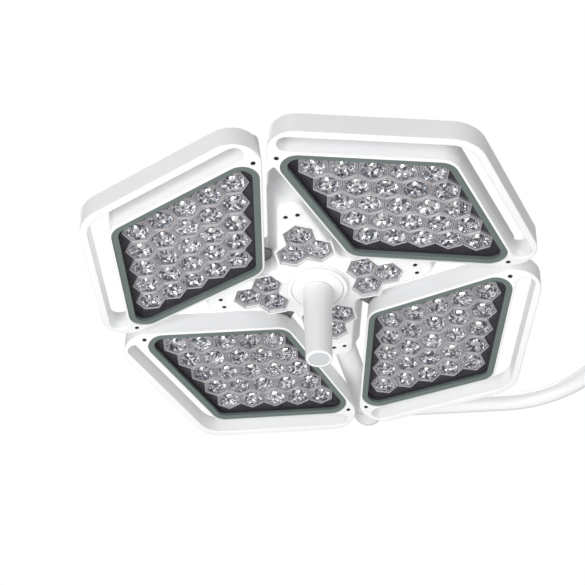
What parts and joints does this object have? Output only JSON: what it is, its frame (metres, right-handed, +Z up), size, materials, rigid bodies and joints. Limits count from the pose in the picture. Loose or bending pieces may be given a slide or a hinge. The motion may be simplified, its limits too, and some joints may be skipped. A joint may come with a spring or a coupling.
{
  "type": "dental operating light",
  "caption": "Dental operating light: lens petals with loop handles round a star hub, a pull-off grip, and a bent yoke tube that lets the head swivel, pitch and roll",
  "frame": {"origin": "on the arm spindle's axis, at its shoulder, where the balance arm's socket rests", "axes": "+Z up along the spindle; +X from the lamp head towards the spindle; the elbow stands on the +Y side, and the lamp shines towards -Z at rest"},
  "size_m": [0.8428, 0.7178, 0.319],
  "materials": {
    "shell_white": "smooth injection moulding, low gloss",
    "grip_white": "fine satin grain",
    "cap_grey": "satin",
    "bezel_grey": "grey-green, eggshell",
    "clear_pane": "clear, polished",
    "clear_lens": "moulded clear acrylic",
    "tray_dark": "matt dark blue-grey",
    "board": "solder mask",
    "sink_aluminium": "as extruded",
    "chassis_aluminium": "machined casting",
    "bracket_steel": "dark plated",
    "screw_dark": "blackened",
    "arm_white": "white powder coat, smooth",
    "pivot_steel": "turned and ground",
    "bush_bronze": "sintered bronze",
    "detent_rubber": "soft black ring"
  },
  "bodies": {
    "mount": {"arm_spindle": "pivot_steel", "spindle_clip": "pivot_steel"},
    "swivel": {"swivel_housing": "arm_white", "swivel_cap": "shell_white", "pitch_bush": "bush_bronze"},
    "yoke": {"yoke_elbow": "arm_white", "yoke_tube": "arm_white", "yoke_end": "arm_white", "pivot_nuts": "pivot_steel"},
    "head": {"petal_casing_1": "shell_white", "petal_cover_1": "shell_white", "petal_bezel_1": "bezel_grey", "petal_window_1": "clear_pane", "petal_tray_1": "tray_dark", "petal_board_1": "board", "petal_sink_1": "sink_aluminium", "petal_lenses_1": "clear_lens", "petal_bracket_1": "bracket_steel", "petal_casing_2": "shell_white", "petal_cover_2": "shell_white", "petal_bezel_2": "bezel_grey", "petal_window_2": "clear_pane", "petal_tray_2": "tray_dark", "petal_board_2": "board", "petal_sink_2": "sink_aluminium", "petal_lenses_2": "clear_lens", "petal_bracket_2": "bracket_steel", "petal_casing_3": "shell_white", "petal_cover_3": "shell_white", "petal_bezel_3": "bezel_grey", "petal_window_3": "clear_pane", "petal_tray_3": "tray_dark", "petal_board_3": "board", "petal_sink_3": "sink_aluminium", "petal_lenses_3": "clear_lens", "petal_bracket_3": "bracket_steel", "petal_casing_4": "shell_white", "petal_cover_4": "shell_white", "petal_bezel_4": "bezel_grey", "petal_window_4": "clear_pane", "petal_tray_4": "tray_dark", "petal_board_4": "board", "petal_sink_4": "sink_aluminium", "petal_lenses_4": "clear_lens", "petal_bracket_4": "bracket_steel", "petal_screws": "screw_dark", "hub_front_cover": "shell_white", "hub_back_cover": "shell_white", "hub_chassis": "chassis_aluminium", "hub_led_board": "board", "cluster_windows": "clear_pane", "cluster_lenses": "clear_lens", "hub_screws": "screw_dark", "handle_ring": "shell_white", "stub_tube": "arm_white", "roll_bush": "bush_bronze"},
    "focus": {"handle_core": "grip_white", "detent_ring": "detent_rubber"},
    "grip": {"handle_sleeve": "grip_white", "handle_end_cap": "cap_grey"}
  },
  "joints": [
    {"name": "arm_swivel", "type": "hinge", "parent": "mount", "child": "swivel", "pos_m": [0, 0, 0], "axis": [0, 0, 1], "range_deg": [-165, 165]},
    {"name": "yoke_pitch", "type": "hinge", "parent": "swivel", "child": "yoke", "pos_m": [-0.1, 0, -0.1], "axis": [1, 0, 0], "range_deg": [-90, 90]},
    {"name": "head_roll", "type": "hinge", "parent": "yoke", "child": "head", "pos_m": [-0.51135, 0.338, -0.1], "axis": [0, 1, 0], "range_deg": [-120, 120]},
    {"name": "focus_turn", "type": "hinge", "parent": "head", "child": "focus", "pos_m": [-0.51135, 0, -0.1], "axis": [0, 0, 1], "range_deg": [-60, 60]},
    {"name": "grip_pull", "type": "slide", "parent": "focus", "child": "grip", "axis": [0, 0, -1], "range_m": [0, 0.15]}
  ]
}
